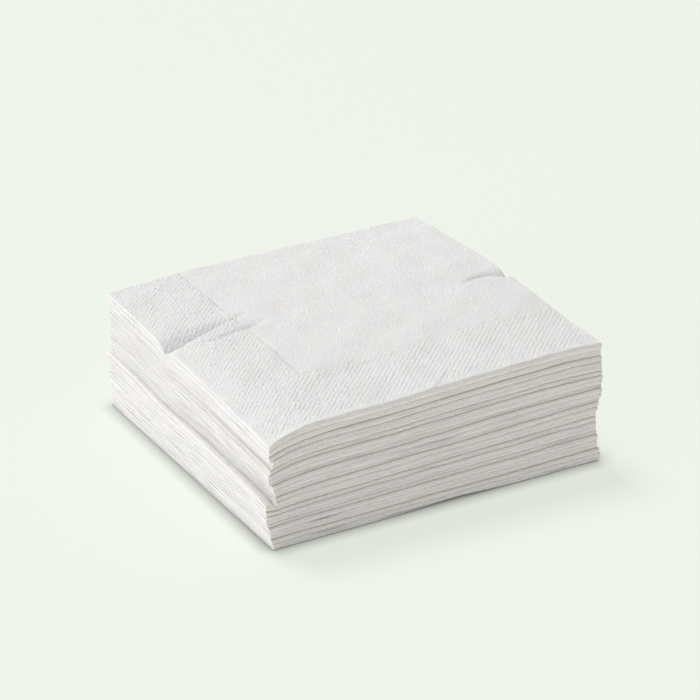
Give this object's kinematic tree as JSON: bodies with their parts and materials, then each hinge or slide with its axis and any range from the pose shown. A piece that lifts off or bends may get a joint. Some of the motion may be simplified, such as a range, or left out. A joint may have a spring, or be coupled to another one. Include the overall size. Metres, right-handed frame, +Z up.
{
  "type": "stack of folded paper napkins",
  "caption": "Square stack of quarter-folded white tissue napkins, springy on top, with a dotted emboss border and two pressed dents on its sides.",
  "frame": {"origin": "centre of the stack's outline on the surface that it rests on", "axes": "+Z up through the stack, +X towards the small side folds, -Y towards the long front folds, -X and +Y towards the cut edges"},
  "size_m": [0.1282, 0.1234, 0.0472],
  "materials": {
    "tissue": "soft matt white three-ply tissue, embossed along two edges"
  },
  "bodies": {
    "root": {"napkin_01": "tissue", "napkin_02": "tissue", "napkin_03": "tissue", "napkin_04": "tissue", "napkin_05": "tissue", "napkin_06": "tissue", "napkin_07": "tissue", "napkin_08": "tissue", "napkin_09": "tissue", "napkin_10": "tissue", "napkin_11": "tissue", "napkin_12": "tissue", "napkin_13": "tissue", "napkin_14": "tissue", "napkin_15": "tissue", "napkin_16": "tissue", "napkin_17": "tissue", "napkin_18": "tissue", "napkin_19": "tissue", "napkin_20": "tissue", "napkin_21": "tissue", "napkin_22": "tissue", "napkin_23": "tissue", "napkin_24": "tissue", "napkin_25": "tissue"}
  },
  "joints": []
}
